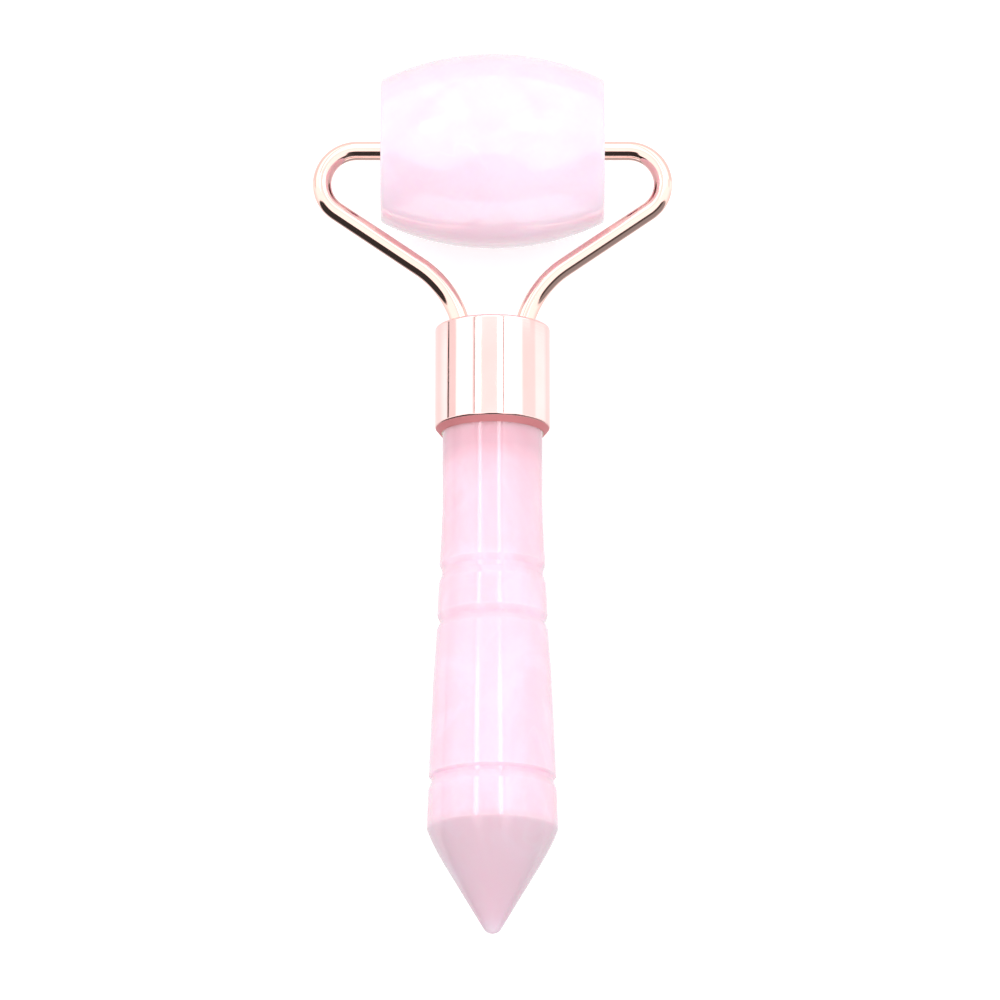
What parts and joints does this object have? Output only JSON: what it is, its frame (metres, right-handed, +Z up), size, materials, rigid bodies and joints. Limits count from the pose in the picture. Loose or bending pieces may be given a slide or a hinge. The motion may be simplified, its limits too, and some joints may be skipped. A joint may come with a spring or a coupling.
{
  "type": "face roller",
  "caption": "Hand-held face roller: a barrel-shaped stone roller turns in a sprung wire fork on a pointed, turned stone handle with a metal collar.",
  "frame": {"origin": "centre of the part's box in X and Y, on the surface it lies on", "axes": "+X along the roller's axis to the right arm, +Y from the handle's tip towards the roller, +Z up from the resting surface"},
  "size_m": [0.0402, 0.1004, 0.0218],
  "materials": {
    "roller_stone": "polished pale pink translucent quartz",
    "handle_stone": "polished pale pink translucent quartz",
    "fork_metal": "polished rose-gold plate",
    "collar_metal": "polished rose-gold plate",
    "block_brass": "turned, plain",
    "bush_plastic": "moulded nylon",
    "adhesive": "cured clear adhesive"
  },
  "bodies": {
    "fork": {"fork_arm_left": "fork_metal", "fork_arm_right": "fork_metal", "fork_block": "block_brass", "collar": "collar_metal", "adhesive_fill": "adhesive", "handle_stone": "handle_stone"},
    "roller": {"roller_stone": "roller_stone", "bush_left": "bush_plastic", "bush_right": "bush_plastic"}
  },
  "joints": [
    {"name": "roller_spin", "type": "hinge", "parent": "fork", "child": "roller", "pos_m": [0, 0.03933, 0.0109], "axis": [1, 0, 0], "continuous": true}
  ]
}
